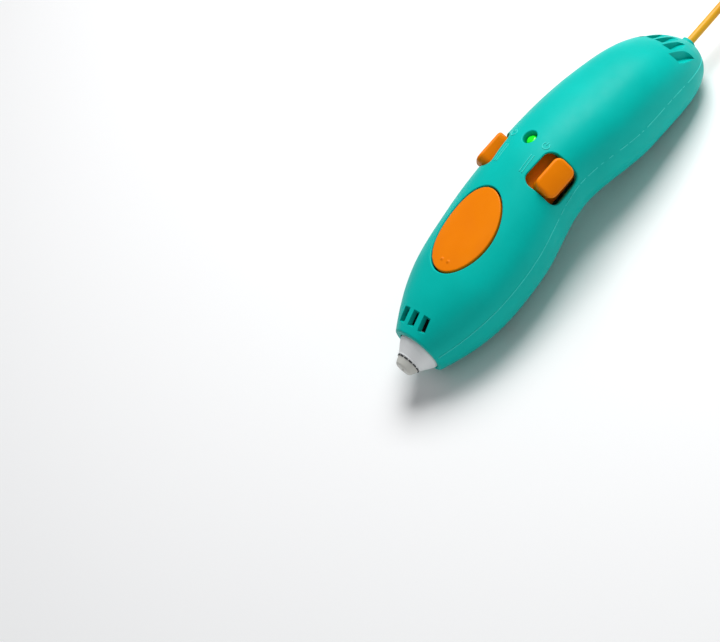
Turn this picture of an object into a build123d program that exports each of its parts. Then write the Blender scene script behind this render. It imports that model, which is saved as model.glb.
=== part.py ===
from build123d import *
from math import atan2, cos, degrees, pi, radians, sin, sqrt
import os

# Handheld three d pen, in millimetres. While it is modelled, X runs along the feed line from the
# nozzle tip (0) to the tail, Z is up towards the crown that holds the button, and the feed line is
# Y = Z = 0. Every piece is moved at the end, so that the pen rests on Z = 0 and its box is centred.

# ---- driving dimensions -------------------------------------------------------------------------
LENGTH = 141.0              # nozzle tip to tail
NOSE_X = 7.6                # front face of the housing
WALL = 2.0                  # housing wall
FLAT_WALL = 1.6             # housing wall at the belly flats
TAIL_WALL = 3.6             # thicker wall round the blind tail scoops
NOSE_ROUND = 0.9            # edge rounding of the housing's front face
COVER_R = 7.1               # largest radius of the nozzle cover, sunk a little into the front face
TAIL_START = 113.5          # where the tail begins to close
TAIL_POWER = 2.4            # how full the tail's rounding is
SECTION_POWER = 2.3         # superellipse power of the cross-section
BELLY_Z = -11.0             # the two belly flats that the pen rests on

# Housing outline: place along X, half width, crown height, belly height, parting height
OUTLINE = (
    (7.6, 8.7, 8.9, -8.4, 1.0),
    (23.0, 16.3, 15.0, -11.0, 3.5),
    (47.5, 19.3, 20.7, -9.8, 6.7),
    (74.5, 16.3, 25.1, -4.7, 11.5),
    (101.5, 17.5, 22.3, -8.8, 7.3),
    (122.0, 15.3, 17.9, -11.6, 3.9),
    (141.0, 15.3, 11.0, -17.0, -1.8),
)
HALF_WIDTH, CROWN, BELLY, PARTING = 1, 2, 3, 4

STRAND_R = 1.35             # plastic strand
STRAND_TIP_X = 24.0         # front end of the strand being melted
STRAND_JOINT_X = 55.0       # where the next strand follows it
STRAND_OUT = 35.0           # length standing out of the tail
GUIDE_OUT_R = 2.2
GUIDE_IN_R = 1.6
RUN_GAP = 0.03              # radial running clearance of pins and axles

BUTTON_X = 42.7             # centre of the oval button
BUTTON_A, BUTTON_B = 14.5, 10.2
BUTTON_GAP = 0.5
BUTTON_THICK = 2.0
HINGE_X, HINGE_Z = 60.2, 19.0
HINGE_PIN_R = 0.8

RIM_ROUND = 0.4             # rounding of the rims round the button, the pads and the lamp

LED_X = 76.8
LED_HOLE_R = 2.4
LED_LENS_R = 1.8
LED_RECESS = 1.2

COLLAR_Z = 10.0             # height of the power collar's axis
COLLAR_IN_R, COLLAR_OUT_R = 11.4, 12.2
PAD_X0, PAD_X1 = 63.9, 75.9
PAD_LOW, PAD_ARC = 43.8, 25.0       # each pad: angle from the crown to its upper edge, and its arc
PAD_TOP_R = 19.0
COLLAR_TRAVEL = 7.5         # degrees that the collar turns each way from off
WINDOW_GAP, WINDOW_GIRTH, WINDOW_CORNER = 0.6, 12.7, 3.0

DRIVE_X, DRIVE_R = 44.0, 4.0
DRIVE_Y = STRAND_R + 0.05 + DRIVE_R
AXLE_R = 1.0
IDLER_R = 3.0
IDLER_Y = -(STRAND_R + 0.05 + IDLER_R)
PIVOT_X, PIVOT_Y = 50.0, -9.0
PLATE_Z0, PLATE_Z1 = -4.6, -3.0     # mechanism frame's floor plate
COVER_Z0, COVER_Z1 = 6.0, 7.2       # frame cover plate
MODULE = 0.7
PINION_TEETH, CROWN_TEETH = 10, 20
MOTOR_Z = 8.4
SHAFT_R = 1.5

BOARD_X0, BOARD_X1 = 36.0, 84.0
BOARD_HALF = 9.0
BOARD_Z0, BOARD_Z1 = 13.7, 14.7

CELL_R, CELL_X0, CELL_X1, CELL_Z = 6.5, 85.0, 117.0, 9.6
SCREWS = ((31.0, 12.4), (31.0, -12.4), (108.0, 11.6), (108.0, -11.6))
SCREW_R, SCREW_HEAD_R, BOSS_R = 1.1, 2.1, 2.7
SCREW_SEAT = {31.0: -3.0, 108.0: -2.0}      # height of each housing screw's seat, by its place

NOSE_VENTS = (-4.6, 0.0, 4.6)
TAIL_SCOOPS = (-10.4, -6.3, -2.1, 2.1, 6.3, 10.4)

NOSE_WALL = 2.4             # front wall of the housing
TAIL_TRIM = 0.8             # the housing stops this short of the tail bushing's end
TAIL_HOLLOW = 4.6           # the hollow stops this short of the tail's end
COVER_SINK = 0.8            # how deep the nozzle cover's flange sits in the front face
SPIGOT_R = 5.6              # the nozzle cover's spigot
BUSHING_R = 2.4             # ring round the strand's inlet
BUSHING_LONG = 4.5

TIP_X = 2.4                 # rear of the visible tip
BARREL_X0, BARREL_X1 = 8.5, 26.0
BARREL_OUT_R, BARREL_IN_R = 2.9, 1.5
MOUNT_X0, MOUNT_X1, MOUNT_Z0 = 20.5, 24.5, -4.6

BOARD_POSTS = ((60.0, -7.2), (81.5, 6.5), (81.5, -6.5))
FRAME_POSTS = ((38.4, 6.0), (38.4, -6.0), (50.6, 0.0))
COVER_POSTS = ((36.4, 10.8), (38.0, -9.6), (46.6, -11.0))
SMALL_SCREW_R, SMALL_HEAD_R = 0.8, 1.5

CROWN_Z0, CROWN_ROOT_Z, CROWN_TIP_Z = 2.6, 4.0, 5.4
PINION_X0, PINION_X1 = 50.0, 52.1
GEARBOX_X0, GEARBOX_X1, CAN_X1, CAP_X1 = 54.4, 62.4, 77.4, 78.9
MOTOR_W, MOTOR_H = 12.0, 10.0
IDLER_PIN_R = 0.8
SWITCH_X = 41.0             # the feed switch, under the button

CRADLE_X0, CRADLE_X1, CRADLE_Z0 = 88.0, 112.0, -1.5
PORT_X0, PORT_X1 = 133.0, 138.6
PORT_Z0, PORT_Z1, PORT_HALF = -7.2, -4.4, 3.8

FAR = 40.0                  # beyond the pen's outline in every direction across it

nodes = {}


# ---- helpers ------------------------------------------------------------------------------------
def box(x0, x1, y0, y1, z0, z1):
    """A box between two corners."""
    return Pos((x0 + x1) / 2, (y0 + y1) / 2, (z0 + z1) / 2) * Box(x1 - x0, y1 - y0, z1 - z0)


def rod_x(x0, x1, radius, y=0.0, z=0.0):
    return Pos((x0 + x1) / 2, y, z) * Rot(0, 90, 0) * Cylinder(radius, x1 - x0)


def rod_y(y0, y1, radius, x=0.0, z=0.0):
    return Pos(x, (y0 + y1) / 2, z) * Rot(90, 0, 0) * Cylinder(radius, y1 - y0)


def rod_z(z0, z1, radius, x=0.0, y=0.0):
    return Pos(x, y, (z0 + z1) / 2) * Cylinder(radius, z1 - z0)


def joined(shapes):
    """All the shapes as one."""
    return shapes[0] + shapes[1:]


def tube_x(x0, x1, outer, inner, y=0.0, z=0.0):
    return rod_x(x0, x1, outer, y, z) - rod_x(x0 - 1, x1 + 1, inner, y, z)


def polygon(*points):
    return Face(Wire.make_polygon(points, close=True))


def turned_x(*profile):
    """A solid turned about the feed line from (x, radius) points."""
    return revolve(polygon(*[(x, 0, r) for x, r in profile]), Axis.X, 360)


def outline(column, x):
    """One column of the outline at x: a smooth curve through its stations."""
    xs = [row[0] for row in OUTLINE]
    ys = [row[column] for row in OUTLINE]
    steps = [b - a for a, b in zip(xs, xs[1:])]
    rises = [(b - a) / h for a, b, h in zip(ys, ys[1:], steps)]
    slopes = [(rises[i - 1] * steps[i] + rises[i] * steps[i - 1]) / (steps[i - 1] + steps[i])
              for i in range(1, len(steps))]
    slopes = [2 * rises[0] - slopes[0]] + slopes + [2 * rises[-1] - slopes[-1]]
    i = max(k for k in range(len(steps)) if k == 0 or x >= xs[k])
    t = (x - xs[i]) / steps[i]
    return ((2 * t ** 3 - 3 * t ** 2 + 1) * ys[i] + (t ** 3 - 2 * t ** 2 + t) * steps[i] * slopes[i]
            + (3 * t ** 2 - 2 * t ** 3) * ys[i + 1] + (t ** 3 - t ** 2) * steps[i] * slopes[i + 1])


def section_sizes(x, inset):
    """Half width, height above and depth below the parting line, and the parting height, at x."""
    parting = outline(PARTING, x)
    reach = min(1.0, max(0.0, (x - TAIL_START) / (LENGTH - inset - TAIL_START)))
    close = sqrt(max(0.0, 1 - reach ** TAIL_POWER))
    sizes = (outline(HALF_WIDTH, x), outline(CROWN, x) - parting, parting - outline(BELLY, x))
    return [(size - inset) * close for size in sizes] + [parting]


def crown_height(x, y=0.0, inset=0.0):
    """Height of the housing's surface above (x, y)."""
    wide, up, _, parting = section_sizes(x, inset)
    return parting + up * (1 - abs(y / wide) ** SECTION_POWER) ** (1 / SECTION_POWER)


def section(x, inset):
    """The cross-section of the housing at x, as a face."""
    wide, up, down, parting = section_sizes(x, inset)
    count = 20
    points = []
    for i in range(count):
        c, s = cos(2 * pi * i / count), sin(2 * pi * i / count)
        y = wide * abs(c) ** (2 / SECTION_POWER) * (1 if c > 0 else -1)
        z = (up if s > 0 else -down) * abs(s) ** (2 / SECTION_POWER)
        points.append((x, y, parting + z))
    even = list(range(count + 1))
    return Face(Wire([Edge.make_spline(points, periodic=True, parameters=even)]))


def body(x0, x1, inset):
    """The housing's outer form, offset inwards by inset (a number or a function of x)."""
    span = x1 - x0
    places = [x0, x0 + 2.0, x0 + 4.0]
    middle = 19
    places += [x0 + 4.0 + (span - 22.0) * i / middle for i in range(1, middle + 1)]
    places += [x1 - d for d in (15.0, 12.0, 9.0, 6.5, 4.5, 3.0, 1.8, 0.8, 0.0)]
    depth = inset if callable(inset) else (lambda x: inset)
    return loft([section(x, depth(x)) for x in places])


def parting_curve():
    """The parting line in the XZ plane, run on past both ends."""
    points = [(row[0], 0, row[PARTING]) for row in OUTLINE]
    first, last = points[0], points[-1]
    return [(-10.0, 0, first[2])] + points + [(LENGTH + 10, 0, last[2] - 1.5)]


def above_parting():
    """Everything above the parting line, as a block."""
    points = parting_curve()
    curve = Spline(*points)
    top = 40.0
    edges = [curve, Line(points[-1], (points[-1][0], 0, top)),
             Line((points[-1][0], 0, top), (points[0][0], 0, top)), Line((points[0][0], 0, top), points[0])]
    return extrude(Face(Wire(edges)), amount=30, dir=(0, 1, 0), both=True)


def oval(a, b, z0, z1, x):
    return Pos(x, 0, z0) * extrude(Ellipse(a, b), amount=z1 - z0)


def sector(x0, x1, r0, r1, start, arc):
    """A curved block about the collar's axis; angles run from the crown towards the -Y flank."""
    face = Plane.XZ * Pos((x0 + x1) / 2, COLLAR_Z + (r0 + r1) / 2) * Rectangle(x1 - x0, r1 - r0)
    axis = Axis((0, 0, COLLAR_Z), (1, 0, 0))
    return revolve(face, axis, arc).rotate(axis, start)


def inner_depth(x):
    """Wall thickness at x: it grows over a short length in front of the tail scoops."""
    grow = min(1.0, max(0.0, (x - 117.0) / 9.0))
    return WALL + (TAIL_WALL - WALL) * grow * grow * (3 - 2 * grow)


# ---- housing ------------------------------------------------------------------------------------
def nose_vent(y):
    """A vent slot: open at its rear, with a floor that ramps up towards the nozzle."""
    width, front, ramp_end, rear = 2.7, 10.1, 11.9, 14.9
    top = 20.0
    z_front, z_ramp = crown_height(front, y), crown_height(ramp_end, y) - 3.2
    ramp = polygon((front, 0, z_front), (ramp_end, 0, z_ramp), (ramp_end, 0, 4.0), (rear, 0, 4.0),
                   (rear, 0, top), (front, 0, top))
    return Pos(0, y, 0) * extrude(ramp, amount=width / 2, dir=(0, 1, 0), both=True)


def tail_scoop(y):
    """A blind scoop: a straight deep wall in front and a floor that runs out towards the tail."""
    width, depth = 3.2, 2.4
    front = 130.4 - 0.027 * y ** 2
    rear = front + 6.4
    z_front, z_rear = crown_height(front, y) - depth, crown_height(rear, y) + 0.1
    floor = polygon((front, 0, z_front), (rear, 0, z_rear), (rear, 0, 25.0), (front, 0, 25.0))
    wedge = extrude(floor, amount=width / 2, dir=(0, 1, 0), both=True)
    plan = box(front, rear - width / 2, -width / 2, width / 2, -5, 25)
    plan += rod_z(-5, 25, width / 2, rear - width / 2)
    return Pos(0, y, 0) * (wedge & plan)


def slider_window(side):
    """The rounded opening in a flank that a pad of the power collar stands through."""
    middle = radians(PAD_LOW + PAD_ARC / 2)
    face = Plane(origin=((PAD_X0 + PAD_X1) / 2, 0, COLLAR_Z), x_dir=(1, 0, 0),
                 z_dir=(0, side * sin(middle), cos(middle)))
    rounded = RectangleRounded(PAD_X1 - PAD_X0 + 2 * WINDOW_GAP, WINDOW_GIRTH, WINDOW_CORNER)
    return face * Pos(0, 0, COLLAR_OUT_R - 1) * extrude(rounded, amount=12)


def is_nose_edge(edge):
    """Whether an edge runs round the housing's front face."""
    return all(abs((edge @ place).X - NOSE_X) < 0.01 for place in (0.0, 0.3, 0.7))


def make_shells():
    """The housing's outer and inner forms, and its wall as an upper and a lower half."""
    outer = body(NOSE_X, LENGTH - TAIL_TRIM, 0.0)
    outer = fillet(outer.edges().filter_by(is_nose_edge), NOSE_ROUND)
    outer -= box(0, LENGTH, -FAR, FAR, -FAR, BELLY_Z)
    inner = body(NOSE_X + NOSE_WALL, LENGTH - TAIL_HOLLOW, inner_depth)
    inner -= box(0, LENGTH, -FAR, FAR, -FAR, BELLY_Z + FLAT_WALL)
    hollow = outer - inner
    hollow -= rod_x(NOSE_X - 1, NOSE_X + NOSE_WALL + 1, SPIGOT_R)
    hollow -= rod_x(NOSE_X - 1, NOSE_X + COVER_SINK, COVER_R + 0.4)
    hollow -= rod_x(LENGTH - 8, LENGTH + 1, BUSHING_R)
    upper = above_parting()
    return outer, inner, hollow & upper, hollow - upper


def on_crown(edge):
    """Whether an edge of the upper half lies on its outer surface."""
    points = [edge @ place for place in (0.0, 0.2, 0.5, 0.8, 1.0)]
    return all(abs(crown_height(p.X, p.Y) - p.Z) < 0.05 for p in points)


def is_button_rim(edge):
    middle = edge @ 0.5
    reach = ((middle.X - BUTTON_X) / (BUTTON_A + BUTTON_GAP)) ** 2 + (middle.Y / (BUTTON_B + BUTTON_GAP)) ** 2
    return on_crown(edge) and abs(reach - 1) < 0.01


def is_lamp_rim(edge):
    middle = edge @ 0.5
    return on_crown(edge) and abs(sqrt((middle.X - LED_X) ** 2 + middle.Y ** 2) - LED_HOLE_R) < 0.01


def is_window_rim(edge, side):
    middle = edge @ 0.5
    return PAD_X0 - 1 < middle.X < PAD_X1 + 1 and side * middle.Y > 5 and on_crown(edge)


def make_top_shell(shell, inner):
    """Upper half: screw bosses, board posts, hinge lugs, and every opening in the crown."""
    posts = [rod_z(outline(PARTING, x), 30, BOSS_R, x, y) for x, y in SCREWS]
    posts += [rod_z(BOARD_Z1, 30, 1.9, x, y) for x, y in BOARD_POSTS]
    posts += [box(HINGE_X - 1.6, HINGE_X + 1.6, side * 5.5 - 0.7, side * 5.5 + 0.7, HINGE_Z - 1.8, 30)
              for side in (-1, 1)]
    posts.append(rod_z(20.5, 30, 3.0, LED_X))
    holes = [rod_z(-5, outline(PARTING, x) + 6.0, SCREW_R, x, y) for x, y in SCREWS]
    holes += [rod_z(0, BOARD_Z1 + 3.4, SMALL_SCREW_R, x, y) for x, y in BOARD_POSTS]
    holes += [slider_window(-1), slider_window(1), rod_z(0, 40, LED_HOLE_R, LED_X)]
    holes.append(oval(BUTTON_A + BUTTON_GAP, BUTTON_B + BUTTON_GAP, 12.0, 40.0, BUTTON_X))
    holes.append(rod_y(-7, 7, HINGE_PIN_R, HINGE_X, HINGE_Z))
    holes += [nose_vent(y) for y in NOSE_VENTS] + [tail_scoop(y) for y in TAIL_SCOOPS]
    half = shell + (joined(posts) & inner) - holes
    rims = [is_button_rim, is_lamp_rim]
    rims += [lambda edge: is_window_rim(edge, -1), lambda edge: is_window_rim(edge, 1)]
    for rim in rims:
        half = fillet(half.edges().filter_by(rim), RIM_ROUND)
    return half


def make_bottom_shell(shell, inner):
    """Lower half: screw columns from the belly, stands for the mechanism, and the charging opening."""
    posts = [rod_z(-20, outline(PARTING, x), BOSS_R, x, y) for x, y in SCREWS]
    posts += [rod_z(-20, PLATE_Z0, 2.0, x, y) for x, y in FRAME_POSTS]
    posts.append(box(MOUNT_X0, MOUNT_X1, -7, 7, -20, MOUNT_Z0))
    for side in (-1, 1):
        posts += [box(x, x + 2.0, side * 7.5 - 1, side * 7.5 + 1, -20, CRADLE_Z0)
                  for x in (CRADLE_X0, CRADLE_X1)]
        posts.append(box(123.0, 125.0, side * 3.5 - 1, side * 3.5 + 1, -20, PORT_Z1))
    holes = [rod_z(-20, 30, SCREW_R + 0.05, x, y) for x, y in SCREWS]
    holes += [rod_z(-20, SCREW_SEAT[x], SCREW_HEAD_R + 0.2, x, y) for x, y in SCREWS]
    holes += [rod_z(PLATE_Z0 - 2.6, PLATE_Z0 + 1, SMALL_SCREW_R, x, y) for x, y in FRAME_POSTS]
    holes.append(box(PORT_X1 - 8, PORT_X1, -PORT_HALF, PORT_HALF, PORT_Z0, PORT_Z1))
    mouth = box(PORT_X1, LENGTH + 2, -PORT_HALF - 0.5, PORT_HALF + 0.5, PORT_Z0 - 0.4, PORT_Z1 + 0.4)
    holes.append(mouth)
    return shell + (joined(posts) & inner) - holes


def housing_screws():
    """Four screws that go in from the belly."""
    screws = []
    for x, y in SCREWS:
        seat = SCREW_SEAT[x]
        screw = rod_z(seat, outline(PARTING, x) + 5.5, SCREW_R, x, y)
        screw += rod_z(seat - 1.8, seat, SCREW_HEAD_R, x, y)
        slot = box(x - 1.3, x + 1.3, y - 0.25, y + 0.25, seat - 3, seat - 1.1)
        cross = box(x - 0.25, x + 0.25, y - 1.3, y + 1.3, seat - 3, seat - 1.1)
        screws.append(screw - slot - cross)
    return Compound(children=screws)


# ---- hot end ------------------------------------------------------------------------------------
def nozzle_tip():
    """The metal tip: a narrow bore that widens into the melt barrel's."""
    return turned_x((0, 0.5), (0, 2.5), (0.15, 2.8), (0.45, 3.05), (TIP_X, 3.9), (TIP_X, BARREL_OUT_R),
                    (BARREL_X0, BARREL_OUT_R), (BARREL_X0, BARREL_IN_R), (3.2, BARREL_IN_R), (1.0, 0.5))


def nozzle_cover():
    """The pale cone round the tip, with a spigot that the housing clamps."""
    start = TIP_X + 0.15
    seat = NOSE_X + COVER_SINK - 0.02
    return turned_x((start, 3.0), (start, 3.85), (start + 0.15, 4.0), (4.6, 5.3), (6.0, 6.3),
                    (7.2, COVER_R - 0.1), (NOSE_X + 0.1, COVER_R), (seat, COVER_R), (seat, SPIGOT_R), (12.0, SPIGOT_R),
                    (12.0, 4.8), (5.0, 4.8), (4.0, 3.0))


def melt_barrel():
    return tube_x(BARREL_X0, BARREL_X1, BARREL_OUT_R, BARREL_IN_R) + tube_x(19.5, 20.5, 4.2, BARREL_IN_R)


def hot_end_mount():
    plate = box(MOUNT_X0, MOUNT_X1, -7, 7, MOUNT_Z0, 5.2)
    return plate - rod_x(0, 40, BARREL_OUT_R)


def temperature_sensor():
    return rod_x(17.0, 19.3, 0.7, 0, BARREL_OUT_R + 0.7)


# ---- drive --------------------------------------------------------------------------------------
def mechanism_frame(inner):
    """Floor plate, three posts and the wall that the motor is screwed to."""
    plate = [box(35.4, 47.6, -12.0, 12.0, PLATE_Z0, PLATE_Z1), box(47.6, 54.4, -10.6, 10.6, PLATE_Z0, PLATE_Z1),
             box(52.4, 54.4, -3.2, 11.5, PLATE_Z0, 12.6), box(37.4, 40.2, -2.9, 2.9, PLATE_Z1, 1.0)]
    plate += [rod_z(PLATE_Z0, COVER_Z0, 1.0, x, y) for x, y in COVER_POSTS]
    holes = [rod_x(50, 56, 2.6, DRIVE_Y, MOTOR_Z), rod_x(30, 60, GUIDE_OUT_R),
             rod_z(-10, 0, 2.0, DRIVE_X, DRIVE_Y), rod_z(-10, 0, AXLE_R, PIVOT_X, PIVOT_Y)]
    holes += [rod_z(-10, 0, SMALL_SCREW_R, x, y) for x, y in FRAME_POSTS]
    return (joined(plate) & inner) - holes


def frame_cover():
    plate = box(35.4, 48.4, -12.0, 11.8, COVER_Z0, COVER_Z1)
    plate += box(48.4, 52.3, -12.0, -6.6, COVER_Z0, COVER_Z1)
    plate -= rod_z(0, 10, 2.0, DRIVE_X, DRIVE_Y)
    plate -= rod_z(0, 10, AXLE_R, PIVOT_X, PIVOT_Y)
    return plate


def drive_bushings():
    low = rod_z(PLATE_Z0, PLATE_Z1, 2.0, DRIVE_X, DRIVE_Y) - rod_z(-9, 0, AXLE_R + RUN_GAP, DRIVE_X, DRIVE_Y)
    high = rod_z(COVER_Z0, COVER_Z1, 2.0, DRIVE_X, DRIVE_Y) - rod_z(0, 9, AXLE_R + RUN_GAP, DRIVE_X, DRIVE_Y)
    return Compound(children=[low, high])


def drive_wheel():
    """A hobbed wheel: fine grooves bite the strand."""
    wheel = rod_z(-2.0, 2.0, DRIVE_R) + rod_z(-2.85, 2.6, 2.2)
    grooves = 24
    for i in range(grooves):
        notch = Pos(DRIVE_R + 0.12, 0, 0) * Rot(0, 0, 45) * Box(0.5, 0.5, 3)
        wheel -= Rot(0, 0, 360 / grooves * (i + 0.5)) * notch
    return Pos(DRIVE_X, DRIVE_Y, 0) * (wheel - rod_z(-9, 9, AXLE_R))


def crown_gear():
    """A disc with teeth on its face, which the motor's pinion turns."""
    ring_in, ring_out = 6.1, 7.9
    disc = rod_z(CROWN_Z0, CROWN_ROOT_Z, ring_out)
    teeth = rod_z(CROWN_ROOT_Z, CROWN_TIP_Z, ring_out) - rod_z(0, 9, ring_in)
    half_low, half_high = 0.58, 0.98
    space = polygon((0, -half_low, CROWN_ROOT_Z), (0, half_low, CROWN_ROOT_Z),
                    (0, half_high, CROWN_TIP_Z + 0.1), (0, -half_high, CROWN_TIP_Z + 0.1))
    cutter = extrude(space, amount=9, dir=(1, 0, 0))
    for i in range(CROWN_TEETH):
        teeth -= Rot(0, 0, 360 / CROWN_TEETH * (i + 0.5)) * cutter
    return Pos(DRIVE_X, DRIVE_Y, 0) * (disc + teeth - rod_z(-9, 9, AXLE_R))


def drive_axle():
    return rod_z(PLATE_Z0 - 0.3, COVER_Z1 + 0.3, AXLE_R, DRIVE_X, DRIVE_Y)


def pinion():
    """Ten stub teeth on the motor's shaft."""
    pitch_r = MODULE * PINION_TEETH / 2
    root_r, tip_r = pitch_r - 0.75, pitch_r + 0.45
    gear = rod_x(PINION_X0, PINION_X1, root_r)
    tooth = polygon((PINION_X0, -0.62, root_r - 0.3), (PINION_X0, 0.62, root_r - 0.3),
                    (PINION_X0, 0.24, tip_r), (PINION_X0, -0.24, tip_r))
    blade = extrude(tooth, amount=PINION_X1 - PINION_X0, dir=(1, 0, 0))
    for i in range(PINION_TEETH):
        gear += Rot(360 / PINION_TEETH * (i + 0.5), 0, 0) * blade
    return Pos(0, DRIVE_Y, MOTOR_Z) * (gear - rod_x(40, 60, SHAFT_R))


def motor_shaft():
    return rod_x(49.8, GEARBOX_X0 + 5, SHAFT_R, DRIVE_Y, MOTOR_Z)


def motor_gearbox():
    gearbox = box(GEARBOX_X0, GEARBOX_X1, DRIVE_Y - MOTOR_W / 2, DRIVE_Y + MOTOR_W / 2,
                  MOTOR_Z - MOTOR_H / 2, MOTOR_Z + MOTOR_H / 2)
    gearbox -= rod_x(GEARBOX_X0 - 1, GEARBOX_X0 + 5.1, SHAFT_R + RUN_GAP, DRIVE_Y, MOTOR_Z)
    return fillet(gearbox.edges().filter_by(Axis.X).sort_by(lambda e: -e.center().Z)[:4], 1.0)


def flat_can(x0, x1):
    """A motor can: a round body with two flats."""
    can = rod_x(x0, x1, MOTOR_W / 2, DRIVE_Y, MOTOR_Z)
    return can & box(x0, x1, DRIVE_Y - MOTOR_W, DRIVE_Y + MOTOR_W, MOTOR_Z - MOTOR_H / 2, MOTOR_Z + MOTOR_H / 2)


def motor_end_cap():
    cap = flat_can(CAN_X1, CAP_X1)
    for side in (-1, 1):
        y = DRIVE_Y + side * 3.5
        cap += box(CAP_X1, CAP_X1 + 1.6, y - 0.6, y + 0.6, MOTOR_Z - 0.2, MOTOR_Z + 0.2)
    return cap


def idler_arm():
    """Two cheeks that hold the roller against the strand, on a pivot hub."""
    reach = sqrt((DRIVE_X - PIVOT_X) ** 2 + (IDLER_Y - PIVOT_Y) ** 2)
    turn = degrees(atan2(IDLER_Y - PIVOT_Y, DRIVE_X - PIVOT_X))
    cheek_half = 1.7
    arm = rod_z(-2.45, 2.45, 2.2)
    for z0 in (-2.45, 1.8):
        arm += box(0, reach, -cheek_half, cheek_half, z0, z0 + 0.65)
        arm += rod_z(z0, z0 + 0.65, cheek_half, reach, 0)
    arm -= rod_z(-5, 5, AXLE_R + RUN_GAP)
    arm -= rod_z(-5, 5, IDLER_PIN_R, reach, 0)
    return Pos(PIVOT_X, PIVOT_Y, 0) * Rot(0, 0, turn) * arm


def idler_axle():
    return rod_z(-2.45, 2.45, IDLER_PIN_R, DRIVE_X, IDLER_Y)


def idler_roller():
    roller = rod_z(-1.65, 1.65, IDLER_R, DRIVE_X, IDLER_Y)
    return roller - rod_z(-3, 3, IDLER_PIN_R + RUN_GAP, DRIVE_X, IDLER_Y)


def idler_pivot_pin():
    return rod_z(PLATE_Z0, COVER_Z1, AXLE_R, PIVOT_X, PIVOT_Y)


def idler_spring():
    """A torsion spring round the pivot pin, above the arm's hub."""
    wire_r, coil_r, turn_pitch, turns = 0.25, 1.7, 0.62, 3.0
    coil = Helix(turn_pitch, turn_pitch * turns, coil_r)
    start = coil @ 0
    section_face = Plane(origin=start, z_dir=coil % 0) * Circle(wire_r)
    spring = sweep(section_face, path=coil, is_frenet=True)
    return Pos(PIVOT_X, PIVOT_Y, 2.45 + wire_r + 0.02) * spring


# ---- controls -----------------------------------------------------------------------------------
def feed_button(inner_body, outer_body):
    """The oval button: it follows the housing's surface and swings on a pin at its tail end."""
    button = oval(BUTTON_A, BUTTON_B, 5.0, 40.0, BUTTON_X) & outer_body
    button -= inner_body
    for side in (-1, 1):
        y = side * 3.6
        arm = box(50.0, HINGE_X, y - 0.9, y + 0.9, HINGE_Z - 1.2, HINGE_Z + 1.2)
        arm += rod_y(y - 0.9, y + 0.9, 1.8, HINGE_X, HINGE_Z)
        button += arm - rod_y(-9, 9, HINGE_PIN_R + RUN_GAP, HINGE_X, HINGE_Z)
    return button


def button_hinge_pin():
    return rod_y(-6.2, 6.2, HINGE_PIN_R, HINGE_X, HINGE_Z)


def power_collar():
    """A curved band under the crown, which joins the two flank pads into one control."""
    band_in, band_out = COLLAR_IN_R, COLLAR_OUT_R
    plate_start = PAD_LOW - 2 * COLLAR_TRAVEL - 1.0
    plate_arc = PAD_ARC + 4 * COLLAR_TRAVEL + 2.2
    x0, x1 = PAD_X0 - 1.2, PAD_X1 + 1.2
    near = sector(x0, x1, band_in, band_out, plate_start, plate_arc)
    far = sector(x0, x1, band_in, band_out, -(plate_start + plate_arc), plate_arc)
    crown_band = sector(66.2, 73.4, band_in, band_out, -40, 80)
    fork = box(69.2, 70.8, -1.6, 1.6, 17.6, COLLAR_Z + band_in + 0.3) - box(69, 71, -0.62, 0.62, 0, 18.9)
    return near + far + crown_band + fork


def slider_pad(start):
    """A thumb pad that stands through a flank window."""
    pad = sector(PAD_X0, PAD_X1, COLLAR_OUT_R, PAD_TOP_R, start, PAD_ARC)
    corners = pad.edges().filter_by(lambda e: abs((e @ 1 - e @ 0).X) < 0.01 and e.geom_type == GeomType.LINE)
    pad = fillet(corners, WINDOW_CORNER - WINDOW_GAP)
    rim = pad.edges().filter_by(lambda e: rim_distance(e) > PAD_TOP_R - 0.05)
    return fillet(rim, 0.9)


def rim_distance(edge):
    """Distance of an edge's middle from the collar's axis."""
    middle = edge @ 0.5
    return sqrt(middle.Y ** 2 + (middle.Z - COLLAR_Z) ** 2)


# ---- electronics --------------------------------------------------------------------------------
def main_board():
    board = box(BOARD_X0, BOARD_X1, -BOARD_HALF, BOARD_HALF, BOARD_Z0, BOARD_Z1)
    board = fillet(board.edges().filter_by(Axis.Z), 2.5)
    for x, y in BOARD_POSTS:
        board -= rod_z(0, 30, 0.85, x, y)
    return board


def board_screws():
    screws = []
    for x, y in BOARD_POSTS:
        shank = rod_z(BOARD_Z0, BOARD_Z1 + 3.2, SMALL_SCREW_R, x, y)
        screws.append(shank + rod_z(BOARD_Z0 - 0.9, BOARD_Z0, SMALL_HEAD_R, x, y))
    return Compound(children=screws)


def frame_screws():
    screws = []
    for x, y in FRAME_POSTS:
        shank = rod_z(PLATE_Z0 - 2.4, PLATE_Z1, SMALL_SCREW_R, x, y)
        screws.append(shank + rod_z(PLATE_Z1, PLATE_Z1 + 0.7, SMALL_HEAD_R, x, y))
    return Compound(children=screws)


def feed_switch():
    body_top = BOARD_Z1 + 0.6
    return box(SWITCH_X - 2.2, SWITCH_X + 2.2, -2.2, 2.2, BOARD_Z1, body_top)


def button_dome():
    """The rubber dome that lifts the button and clicks when it is pressed."""
    top = crown_height(SWITCH_X - 1.3, 0, BUTTON_THICK) - 0.1
    return rod_z(BOARD_Z1 + 0.6, top, 1.3, SWITCH_X)


def power_switch():
    """A slide switch on the board; the collar's fork moves its lever."""
    switch = box(66.2, 73.8, -2.2, 2.2, BOARD_Z1, 16.6)
    return switch - box(69.0, 71.0, -1.8, 1.8, 15.4, 20)


def power_switch_lever():
    return box(69.3, 70.7, -0.6, 0.6, 15.6, 18.7)


def led_chip():
    return box(LED_X - 1.0, LED_X + 1.0, -0.7, 0.7, BOARD_Z1, BOARD_Z1 + 0.8)


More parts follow.
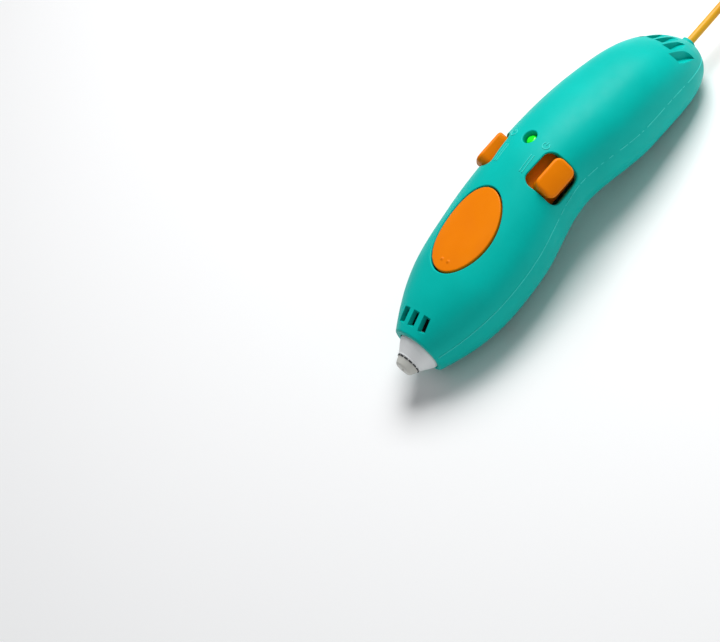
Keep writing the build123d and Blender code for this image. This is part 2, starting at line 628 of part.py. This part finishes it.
def led_light_pipe():
    """A clear rod with a rounded top, which shows the light in the crown's hole."""
    top = crown_height(LED_X) - LED_RECESS
    pipe = rod_z(BOARD_Z1 + 1.0, top, LED_LENS_R, LED_X)
    pipe = fillet(pipe.edges().sort_by(Axis.Z)[-1], 0.9)
    return pipe + rod_z(19.4, 20.4, 2.9, LED_X)


def board_chips():
    chips = [box(46.5, 51.5, -2.5, 2.5, BOARD_Z1, BOARD_Z1 + 1.0),
             box(55.0, 58.0, 3.0, 6.0, BOARD_Z1, BOARD_Z1 + 1.1),
             box(55.0, 58.5, -6.0, -2.5, BOARD_Z1, BOARD_Z1 + 1.4),
             box(75.0, 78.5, -7.5, -4.5, BOARD_Z1, BOARD_Z1 + 1.1)]
    return Compound(children=chips)


def battery_cell():
    cell = rod_x(CELL_X0, CELL_X1, CELL_R, 0, CELL_Z)
    return fillet(cell.edges(), 0.6) + rod_x(CELL_X0 - 0.9, CELL_X0 + 0.5, 2.0, 0, CELL_Z)


def battery_cradle():
    cradle = box(CRADLE_X0 - 1, CRADLE_X1 + 3, -8.6, 8.6, CRADLE_Z0, CELL_Z - 2)
    cradle -= rod_x(80, 120, CELL_R, 0, CELL_Z)
    return cradle - box(80, 120, -GUIDE_OUT_R - 0.6, GUIDE_OUT_R + 0.6, -5, GUIDE_OUT_R + 0.4)


def charge_board():
    return box(121.5, 134.0, -4.4, 4.4, PORT_Z1, PORT_Z1 + 1.0)


def charge_port():
    """A small charging socket: a metal shell with a tongue inside."""
    skin = 0.35
    shell = box(PORT_X0, PORT_X1, -PORT_HALF, PORT_HALF, PORT_Z0, PORT_Z1)
    shell -= box(PORT_X0 + 1, PORT_X1 + 1, skin - PORT_HALF, PORT_HALF - skin, PORT_Z0 + skin, PORT_Z1 - skin)
    middle = (PORT_Z0 + PORT_Z1) / 2
    return shell + box(PORT_X0 + 0.5, PORT_X1 - 0.8, -2.4, 2.4, middle - 0.3, middle + 0.3)


def wire(radius, *points):
    """A short internal wire: straight runs joined by arcs."""
    path = FilletPolyline(*points, radius=1.2)
    return sweep(Plane(origin=path @ 0, z_dir=path % 0) * Circle(radius), path=path)


def wire_pair(spread, *points):
    """Two wires side by side."""
    wires = [wire(0.4, *[(x, y + side * spread, z) for x, y, z in points]) for side in (-1, 1)]
    return Compound(children=wires)


# ---- build --------------------------------------------------------------------------------------
outer_form, inner_form, top_half, bottom_half = make_shells()
button_under = body(20.0, 80.0, BUTTON_THICK)

nodes["top_shell"] = make_top_shell(top_half, inner_form)
nodes["bottom_shell"] = make_bottom_shell(bottom_half, inner_form)
nodes["housing_screws"] = housing_screws()
nodes["nozzle_tip"] = nozzle_tip()
nodes["nozzle_cover"] = nozzle_cover()
nodes["melt_barrel"] = melt_barrel()
nodes["heater_sleeve"] = tube_x(9.5, 16.8, 4.5, BARREL_OUT_R)
nodes["insulation_sleeve"] = tube_x(12.4, 16.8, 5.4, 4.5)
nodes["hot_end_mount"] = hot_end_mount()
nodes["temperature_sensor"] = temperature_sensor()
nodes["front_guide_tube"] = tube_x(BARREL_X1, 40.4, GUIDE_OUT_R, GUIDE_IN_R)
nodes["rear_guide_tube"] = tube_x(47.8, LENGTH - BUSHING_LONG, GUIDE_OUT_R, GUIDE_IN_R)
nodes["tail_bushing"] = tube_x(LENGTH - BUSHING_LONG, LENGTH, BUSHING_R, STRAND_R + 0.4)
nodes["mechanism_frame"] = mechanism_frame(inner_form)
nodes["frame_cover"] = frame_cover()
nodes["frame_screws"] = frame_screws()
nodes["drive_bushings"] = drive_bushings()
nodes["drive_axle"] = drive_axle()
nodes["drive_wheel"] = drive_wheel()
nodes["crown_gear"] = crown_gear()
nodes["pinion"] = pinion()
nodes["motor_shaft"] = motor_shaft()
nodes["motor_gearbox"] = motor_gearbox()
nodes["motor_can"] = flat_can(GEARBOX_X1, CAN_X1)
nodes["motor_end_cap"] = motor_end_cap()
nodes["idler_arm"] = idler_arm()
nodes["idler_axle"] = idler_axle()
nodes["idler_roller"] = idler_roller()
nodes["idler_pivot_pin"] = idler_pivot_pin()
nodes["idler_spring"] = idler_spring()
nodes["feed_button"] = feed_button(button_under, outer_form)
nodes["button_hinge_pin"] = button_hinge_pin()
nodes["button_dome"] = button_dome()
nodes["power_collar"] = power_collar()
nodes["left_slider_pad"] = slider_pad(PAD_LOW)
nodes["right_slider_pad"] = slider_pad(-(PAD_LOW + PAD_ARC))
nodes["main_board"] = main_board()
nodes["board_screws"] = board_screws()
nodes["board_chips"] = board_chips()
nodes["feed_switch"] = feed_switch()
nodes["power_switch"] = power_switch()
nodes["power_switch_lever"] = power_switch_lever()
nodes["led_chip"] = led_chip()
nodes["led_light_pipe"] = led_light_pipe()
nodes["battery_cell"] = battery_cell()
nodes["battery_cradle"] = battery_cradle()
nodes["charge_board"] = charge_board()
nodes["charge_port"] = charge_port()
nodes["motor_leads"] = wire_pair(3.5, (CAP_X1 + 1.6, DRIVE_Y, MOTOR_Z), (82.2, DRIVE_Y, MOTOR_Z),
                                 (82.2, DRIVE_Y, BOARD_Z0))
nodes["charge_leads"] = wire_pair(1.2, (121.5, 4.0, -3.9), (119.5, 4.0, -3.9), (119.5, 4.0, CELL_Z),
                                  (CELL_X1, 4.0, CELL_Z))
nodes["strand_front"] = rod_x(STRAND_TIP_X, STRAND_JOINT_X, STRAND_R)
nodes["strand_rear"] = rod_x(STRAND_JOINT_X, LENGTH + STRAND_OUT, STRAND_R)

os.makedirs("parts", exist_ok=True)
shift = Pos(-(LENGTH + STRAND_OUT) / 2, 0, -BELLY_Z)
for name, shape in nodes.items():
    export_step(shift * shape, f"parts/{name}.step")
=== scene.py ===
from math import cos, pi, sin, sqrt

import bmesh
import bpy
from mathutils import Matrix, Vector
from mathutils.bvhtree import BVHTree


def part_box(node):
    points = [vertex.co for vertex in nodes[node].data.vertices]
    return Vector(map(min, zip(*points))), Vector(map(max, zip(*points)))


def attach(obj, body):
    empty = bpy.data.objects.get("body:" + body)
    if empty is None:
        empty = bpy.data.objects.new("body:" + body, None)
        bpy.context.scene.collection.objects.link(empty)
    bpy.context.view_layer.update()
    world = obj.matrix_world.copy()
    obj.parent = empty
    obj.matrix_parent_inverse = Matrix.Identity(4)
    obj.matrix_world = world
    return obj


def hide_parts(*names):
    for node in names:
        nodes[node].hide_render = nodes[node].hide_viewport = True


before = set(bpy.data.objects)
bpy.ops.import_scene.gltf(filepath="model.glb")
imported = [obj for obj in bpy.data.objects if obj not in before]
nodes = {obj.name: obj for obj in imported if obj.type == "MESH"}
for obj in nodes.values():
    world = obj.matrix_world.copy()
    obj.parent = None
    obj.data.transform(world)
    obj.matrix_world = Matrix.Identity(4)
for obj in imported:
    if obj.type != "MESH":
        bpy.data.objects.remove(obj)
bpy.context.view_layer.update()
MM = 0.001

BUTTON_HALF_LENGTH = 14.5 * MM
BUTTON_TOP_Z = 0.0262           # everything of the button above this is its cap
BUTTON_DISH = 0.25 * MM
BUMP_BACK, BUMP_SIDE, BUMP_R, BUMP_HIGH = 3.3 * MM, 1.4 * MM, 0.75 * MM, 0.35 * MM
SOFT_PITCH, SOFT_PASSES = 0.2 * MM, 5   # remake and smoothing of the orange controls

BEAD_R = 0.18 * MM              # parting line between the housing halves
BEAD_STEPS = 120
MARK_R, MARK_STEP = 0.17 * MM, 0.25 * MM
MARK_LINES_Y = (5.3 * MM, 6.3 * MM)
MARK_LINE_START, MARK_LINE_END = 1.5 * MM, 8.0 * MM
POWER_MARK_AHEAD, POWER_MARK_Y, POWER_MARK_R = 0.6 * MM, 7.2 * MM, 1.15 * MM
POWER_MARK_GAP = 0.6            # half of the ring's opening, in radians

DASHES, DASH_ARC, DASH_STEPS = 14, 0.3, 6
DASH_RING_R, DASH_R = 3.97 * MM, 0.24 * MM
LIP_RING_R, LIP_R, LIP_STEPS = 4.22 * MM, 0.16 * MM, 72

FLOOR_Z, FLOOR_HALF = -0.0004, 3.0
WORLD_STRENGTH = 0.29
LIGHT_TARGET = (0.0, 0.0, 0.02)
KEY_AT, KEY_SIZE, KEY_POWER = (0.32, 0.12, 0.55), (0.42, 0.42), 5.3
FILL_AT, FILL_SIZE, FILL_POWER = (-0.45, -0.55, 0.30), (0.5, 0.4), 0.5

# ---- camera -------------------------------------------------------------------------------------
CAMERA_AT = (-0.2110, -0.4423, 0.4560)
CAMERA_RIGHT = (0.65043, -0.60857, -0.45451)
CAMERA_UP = (0.73380, 0.34892, 0.58291)
LENS = 104.67


def make_camera():
    data = bpy.data.cameras.new("camera")
    data.lens = LENS
    data.sensor_width = 36.0
    data.clip_start, data.clip_end = 0.01, 20.0
    camera = bpy.data.objects.new("camera", data)
    bpy.context.scene.collection.objects.link(camera)
    right = Vector(CAMERA_RIGHT).normalized()
    up = (Vector(CAMERA_UP) - right * right.dot(Vector(CAMERA_UP))).normalized()
    back = right.cross(up)
    turn = Matrix((right, up, back)).transposed()
    camera.matrix_world = Matrix.Translation(CAMERA_AT) @ turn.to_4x4()
    bpy.context.scene.camera = camera


# ---- materials ----------------------------------------------------------------------------------
def linear(value):
    value /= 255.0
    return value / 12.92 if value <= 0.04045 else ((value + 0.055) / 1.055) ** 2.4


def colour(red, green, blue):
    return (linear(red), linear(green), linear(blue), 1.0)


class Nodes:
    """A material's node tree with short ways to add and join nodes."""

    def __init__(self, name):
        self.material = bpy.data.materials.new(name)
        self.material.use_nodes = True
        self.tree = self.material.node_tree
        self.shader = self.tree.nodes["Principled BSDF"]
        self.place = self.add("ShaderNodeTexCoord").outputs["Object"]

    def add(self, kind, **inputs):
        node = self.tree.nodes.new(kind)
        for key, value in inputs.items():
            self.feed(node, key.replace("_", " "), value)
        return node

    def feed(self, node, socket, value):
        if isinstance(value, bpy.types.NodeSocket):
            self.tree.links.new(value, node.inputs[socket])
        else:
            node.inputs[socket].default_value = value

    def noise(self, scale, detail=2.0, roughness=0.5):
        node = self.add("ShaderNodeTexNoise", Vector=self.place, Scale=scale, Detail=detail,
                        Roughness=roughness)
        return node.outputs["Fac"]

    def spread(self, source, low, high, start=0.0, end=1.0):
        node = self.add("ShaderNodeMapRange", Value=source)
        for key, value in (("From Min", start), ("From Max", end), ("To Min", low), ("To Max", high)):
            node.inputs[key].default_value = value
        return node.outputs["Result"]

    def mix(self, factor, first, second):
        node = self.tree.nodes.new("ShaderNodeMix")
        node.data_type = "RGBA"
        for index, value in ((0, factor), (6, first), (7, second)):
            if isinstance(value, bpy.types.NodeSocket):
                self.tree.links.new(value, node.inputs[index])
            else:
                node.inputs[index].default_value = value
        return node.outputs[2]

    def bump(self, height, strength, distance):
        node = self.add("ShaderNodeBump", Height=height, Strength=strength, Distance=distance)
        return node.outputs["Normal"]


def plastic(name, base, deep, rough=0.42, grain=0.35, shine=0.5):
    """Moulded plastic: a fine spark texture, a faint flow in the colour, and uneven gloss."""
    n = Nodes(name)
    cloud = n.noise(55.0, 3.0)
    speck = n.noise(2600.0, 2.0)
    n.feed(n.shader, "Base Color", n.mix(n.spread(cloud, 0.0, 1.0, 0.35, 0.65), deep, base))
    n.feed(n.shader, "Roughness", n.spread(n.noise(240.0, 4.0), rough - 0.05, rough + 0.06, 0.3, 0.7))
    n.feed(n.shader, "Normal", n.bump(speck, grain, 0.00004))
    n.shader.inputs["IOR"].default_value = 1.49
    n.shader.inputs["Specular IOR Level"].default_value = shine
    return n.material


def metal(name, base, deep, rough=0.3):
    n = Nodes(name)
    streak = n.noise(400.0, 4.0)
    n.feed(n.shader, "Base Color", n.mix(n.spread(streak, 0.0, 1.0, 0.3, 0.7), deep, base))
    n.feed(n.shader, "Roughness", n.spread(streak, rough - 0.06, rough + 0.1, 0.3, 0.7))
    n.feed(n.shader, "Normal", n.bump(n.noise(3000.0), 0.1, 0.00002))
    n.shader.inputs["Metallic"].default_value = 1.0
    return n.material


def lens_material(name):
    n = Nodes(name)
    cloud = n.spread(n.noise(700.0, 2.0), 0.0, 1.0, 0.35, 0.65)
    glow = n.mix(cloud, colour(6, 170, 12), colour(24, 225, 30))
    n.feed(n.shader, "Base Color", glow)
    n.feed(n.shader, "Emission Color", glow)
    n.shader.inputs["Emission Strength"].default_value = 0.3
    n.shader.inputs["Roughness"].default_value = 0.12
    return n.material


SLOTS = {
    "housing_teal": plastic("moulded_teal", colour(0, 186, 175), colour(0, 178, 167), shine=0.08),
    "control_orange": plastic("moulded_orange", colour(240, 131, 0), colour(234, 124, 0),
                              rough=0.38, shine=0.1),
    "nozzle_grey": plastic("moulded_grey", colour(238, 240, 240), colour(230, 232, 232), rough=0.5),
    "tip_grey": plastic("ceramic_grey", colour(208, 208, 201), colour(198, 198, 191), rough=0.55),
    "steel": metal("bright_steel", colour(200, 202, 205), colour(176, 178, 182)),
    "brass": metal("turned_brass", colour(214, 178, 96), colour(190, 152, 74)),
    "aluminium": metal("aluminium", colour(212, 214, 216), colour(190, 192, 196)),
    # insulation set to dark charcoal so the insides seen through the vents read black: painted shade
    "insulation": plastic("insulation", colour(44, 38, 34), colour(36, 31, 28), rough=0.85),
    "white_nylon": plastic("white_nylon", colour(232, 231, 226), colour(222, 221, 214), rough=0.5),
    "dark_plastic": plastic("dark_plastic", colour(46, 48, 50), colour(36, 38, 40), rough=0.5),
    "circuit_board": plastic("circuit_board", colour(22, 96, 52), colour(16, 82, 44), rough=0.35),
    "light_pipe": lens_material("green_lens"),
    "cell_wrap": plastic("cell_wrap", colour(60, 110, 180), colour(52, 98, 166), rough=0.3),
    "dome_rubber": plastic("dome_rubber", colour(70, 72, 74), colour(60, 62, 64), rough=0.7),
    "wire_red": plastic("wire_red", colour(190, 34, 30), colour(172, 28, 26), rough=0.45),
    "strand_yellow": plastic("strand_yellow", colour(224, 164, 30), colour(214, 152, 24),
                             rough=0.34, shine=0.25),
    "idler_rubber": plastic("idler_rubber", colour(64, 64, 66), colour(54, 54, 56), rough=0.75),
}


def dress_frame():
    for node in nodes.values():
        for i, material in enumerate(node.data.materials):
            node.material_slots[i].material = SLOTS[material.name.split(".")[0]]


# ---- pieces -------------------------------------------------------------------------------------
def new_piece(name, mesh_data, body, slot_name, material=None):
    piece = bpy.data.objects.new(name, mesh_data)
    bpy.context.scene.collection.objects.link(piece)
    mesh_data.materials.clear()
    mesh_data.materials.append(material or SLOTS[slot_name])
    for face in mesh_data.polygons:
        face.use_smooth = True
    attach(piece, body)
    return piece


def from_bmesh(name, mesh, body, slot_name, material=None):
    bmesh.ops.recalc_face_normals(mesh, faces=mesh.faces)
    data = bpy.data.meshes.new(name)
    mesh.to_mesh(data)
    mesh.free()
    return new_piece(name, data, body, slot_name, material)


def soft_copy(node):
    """The node's mesh with its edges rounded: remade at an even pitch, then smoothed."""
    source = bpy.data.objects.new("source", nodes[node].data.copy())
    bpy.context.scene.collection.objects.link(source)
    weld = source.modifiers.new("weld", "WELD")
    weld.merge_threshold = 0.002 * MM
    remesh = source.modifiers.new("remesh", "REMESH")
    remesh.mode = "VOXEL"
    remesh.voxel_size = SOFT_PITCH
    smooth = source.modifiers.new("smooth", "SMOOTH")
    smooth.factor = 0.5
    smooth.iterations = SOFT_PASSES
    graph = bpy.context.evaluated_depsgraph_get()
    data = bpy.data.meshes.new_from_object(source.evaluated_get(graph))
    bpy.data.objects.remove(source)
    return data


def make_button():
    """The oval button: a rounded rim, a faint dish, and two small finger bumps at its nose end."""
    low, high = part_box("feed_button")
    half_width = (high.y - low.y) / 2
    start = low.x
    half_length = BUTTON_HALF_LENGTH
    centre = start + half_length
    data = soft_copy("feed_button")
    faces_up = [vertex.normal.z > 0.6 for vertex in data.vertices]
    for vertex, upward in zip(data.vertices, faces_up):
        place = vertex.co
        reach = ((place.x - centre) / half_length) ** 2 + (place.y / half_width) ** 2
        if reach < 1.0 and upward and place.z > BUTTON_TOP_Z:
            place.z -= BUTTON_DISH * (1 - reach) ** 1.5
            for side in (-1, 1):
                gap = sqrt((place.x - start - BUMP_BACK) ** 2 + (place.y - side * BUMP_SIDE) ** 2)
                if gap < BUMP_R:
                    place.z += BUMP_HIGH * (0.5 + 0.5 * cos(pi * gap / BUMP_R))
    button = new_piece("feed_button_cap", data, "button", "control_orange")
    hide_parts("feed_button")


def make_pad(node, name):
    data = soft_copy(node)
    pad = new_piece(name, data, "power_control", "control_orange")
    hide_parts(node)


def tree_of(*names):
    mesh = bmesh.new()
    for name in names:
        mesh.from_mesh(nodes[name].data)
    tree = BVHTree.FromBMesh(mesh)
    mesh.free()
    return tree


def tube(mesh, path, radius, sides=8, closed=False):
    """A round bead along a path of points, added to the mesh."""
    rings = []
    count = len(path)
    for i, point in enumerate(path):
        before = path[i - 1] if i or closed else path[i]
        after = path[(i + 1) % count] if i + 1 < count or closed else path[i]
        along = (after - before).normalized()
        across = along.cross(Vector((0, 0, 1))).normalized()
        over = across.cross(along)
        ring = []
        for k in range(sides):
            turn = 2 * pi * k / sides
            ring.append(mesh.verts.new(point + radius * (across * cos(turn) + over * sin(turn))))
        rings.append(ring)
    pairs = list(zip(rings, rings[1:])) + ([(rings[-1], rings[0])] if closed else [])
    for first, second in pairs:
        for k in range(sides):
            mesh.faces.new((first[k], first[(k + 1) % sides], second[(k + 1) % sides], second[k]))
    if not closed:
        mesh.faces.new(rings[0])
        mesh.faces.new(rings[-1])


def surface_point(tree, x, y):
    """The highest point of the mesh at (x, y)."""
    return tree.ray_cast(Vector((x, y, 0.1)), Vector((0, 0, -1)))[0]


def raised_mark(mesh, tree, outline):
    """A thin raised line that lies on the crown along (x, y) points."""
    path = []
    for (x0, y0), (x1, y1) in zip(outline, outline[1:]):
        count = max(1, int(sqrt((x1 - x0) ** 2 + (y1 - y0) ** 2) / MARK_STEP))
        path += [surface_point(tree, x0 + (x1 - x0) * i / count, y0 + (y1 - y0) * i / count)
                 for i in range(count)]
    path.append(surface_point(tree, *outline[-1]))
    tube(mesh, path, MARK_R)


def ring_points(x, y, radius, start, end, count=18):
    turns = [start + (end - start) * i / count for i in range(count + 1)]
    return [(x + radius * cos(turn), y + radius * sin(turn)) for turn in turns]


def make_marks():
    """Plain raised marks beside each pad: two travel lines, and a ring with a bar for power; their
    paler teal is a painted highlight.
    """
    tree = tree_of("top_shell")
    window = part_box("left_slider_pad")
    mesh = bmesh.new()
    for side in (-1, 1):
        for line_y in MARK_LINES_Y:
            raised_mark(mesh, tree, [(window[0].x + MARK_LINE_START, side * line_y),
                                     (window[0].x + MARK_LINE_END, side * line_y)])
        mark_x, mark_y = window[1].x + POWER_MARK_AHEAD, side * POWER_MARK_Y
        raised_mark(mesh, tree, ring_points(mark_x, mark_y, POWER_MARK_R, POWER_MARK_GAP,
                                            2 * pi - POWER_MARK_GAP))
        raised_mark(mesh, tree, [(mark_x + 0.2 * MM, mark_y), (mark_x + 1.4 * MM, mark_y)])
    # paler teal than the housing: a painted highlight on the raised lines
    painted_highlight = plastic("mark_painted_highlight", colour(70, 214, 204), colour(58, 206, 196), shine=0.08)
    from_bmesh("housing_marks", mesh, "housing", "housing_teal", painted_highlight)


def parting_height(top, bottom, x, side):
    """Where the two housing halves meet on a flank at x, found from outside."""
    low, high = 0.004, 0.030
    start = Vector((x, side * 0.06, 0))
    inward = Vector((0, -side, 0))
    for _ in range(16):
        middle = (low + high) / 2
        start.z = middle
        upper = top.ray_cast(start, inward)[3]
        lower = bottom.ray_cast(start, inward)[3]
        if upper is not None and (lower is None or upper < lower):
            high = middle
        else:
            low = middle
    start.z = (low + high) / 2
    hits = (top.ray_cast(start, inward)[3], bottom.ray_cast(start, inward)[3])
    gap = min(distance for distance in hits if distance is not None)
    return Vector((x, side * (0.06 - gap), start.z))


def make_parting_bead():
    """The fine witness line that runs along both flanks where the housing halves meet; its paler teal
    is a painted highlight.
    """
    top, bottom = tree_of("top_shell"), tree_of("bottom_shell")
    low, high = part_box("bottom_shell")
    # paler teal than the housing: a painted highlight along the bead, standing in for its edge
    # catching the light
    painted_highlight = plastic("seam_painted_highlight", colour(70, 214, 204), colour(58, 206, 196), shine=0.08)
    first, last = low.x + 0.8 * MM, high.x - 2.5 * MM
    span = last - first
    mesh = bmesh.new()
    for side in (-1, 1):
        path = [parting_height(top, bottom, first + span * i / BEAD_STEPS, side)
                for i in range(BEAD_STEPS + 1)]
        tube(mesh, path, BEAD_R)
    from_bmesh("parting_bead", mesh, "housing", "housing_teal", painted_highlight)


def make_tip_seam():
    """The joint between the nozzle tip and its cover: a ring of dark dashes and a light lip."""
    low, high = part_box("nozzle_cover")
    middle_z = (low.z + high.z) / 2

    def ring_point(x, radius, turn):
        return Vector((x, radius * cos(turn), middle_z + radius * sin(turn)))

    mesh = bmesh.new()
    for dash in range(DASHES):
        start = 2 * pi * dash / DASHES
        path = [ring_point(low.x + 0.02 * MM, DASH_RING_R, start + DASH_ARC * i / DASH_STEPS)
                for i in range(DASH_STEPS + 1)]
        tube(mesh, path, DASH_R)
    from_bmesh("tip_seam_dashes", mesh, "housing", "dark_plastic")
    mesh = bmesh.new()
    path = [ring_point(low.x + 0.5 * MM, LIP_RING_R, 2 * pi * i / LIP_STEPS) for i in range(LIP_STEPS)]
    tube(mesh, path, LIP_R, closed=True)
    from_bmesh("cover_lip", mesh, "housing", "nozzle_grey")


# ---- light and floor ----------------------------------------------------------------------------
def panel_light(name, place, size, power):
    data = bpy.data.lights.new(name, "AREA")
    data.shape = "RECTANGLE"
    data.size, data.size_y = size
    data.energy = power
    light = bpy.data.objects.new(name, data)
    bpy.context.scene.collection.objects.link(light)
    light.location = place
    light.rotation_mode = "QUATERNION"
    light.rotation_quaternion = (Vector(LIGHT_TARGET) - Vector(place)).to_track_quat("-Z", "Y")


def make_stage():
    mesh = bmesh.new()
    bmesh.ops.create_grid(mesh, x_segments=24, y_segments=24, size=FLOOR_HALF)
    data = bpy.data.meshes.new("floor")
    mesh.to_mesh(data)
    mesh.free()
    floor = bpy.data.objects.new("floor", data)
    bpy.context.scene.collection.objects.link(floor)
    floor.location.z = FLOOR_Z
    n = Nodes("pale_floor")
    n.feed(n.shader, "Base Color", n.mix(n.spread(n.noise(3.0, 2.0), 0.0, 1.0), colour(240, 240, 240),
                                         colour(246, 246, 246)))
    n.shader.inputs["Roughness"].default_value = 0.8
    data.materials.append(n.material)
    world = bpy.data.worlds.new("studio")
    world.use_nodes = True
    world.node_tree.nodes["Background"].inputs["Color"].default_value = (0.95, 0.97, 1.0, 1.0)
    world.node_tree.nodes["Background"].inputs["Strength"].default_value = WORLD_STRENGTH
    bpy.context.scene.world = world
    bpy.context.scene.view_settings.view_transform = "Standard"


make_camera()
make_stage()
panel_light("key", KEY_AT, KEY_SIZE, KEY_POWER)
panel_light("fill", FILL_AT, FILL_SIZE, FILL_POWER)
dress_frame()
make_button()
make_pad("left_slider_pad", "left_pad")
make_pad("right_slider_pad", "right_pad")
make_marks()
make_parting_bead()
make_tip_seam()
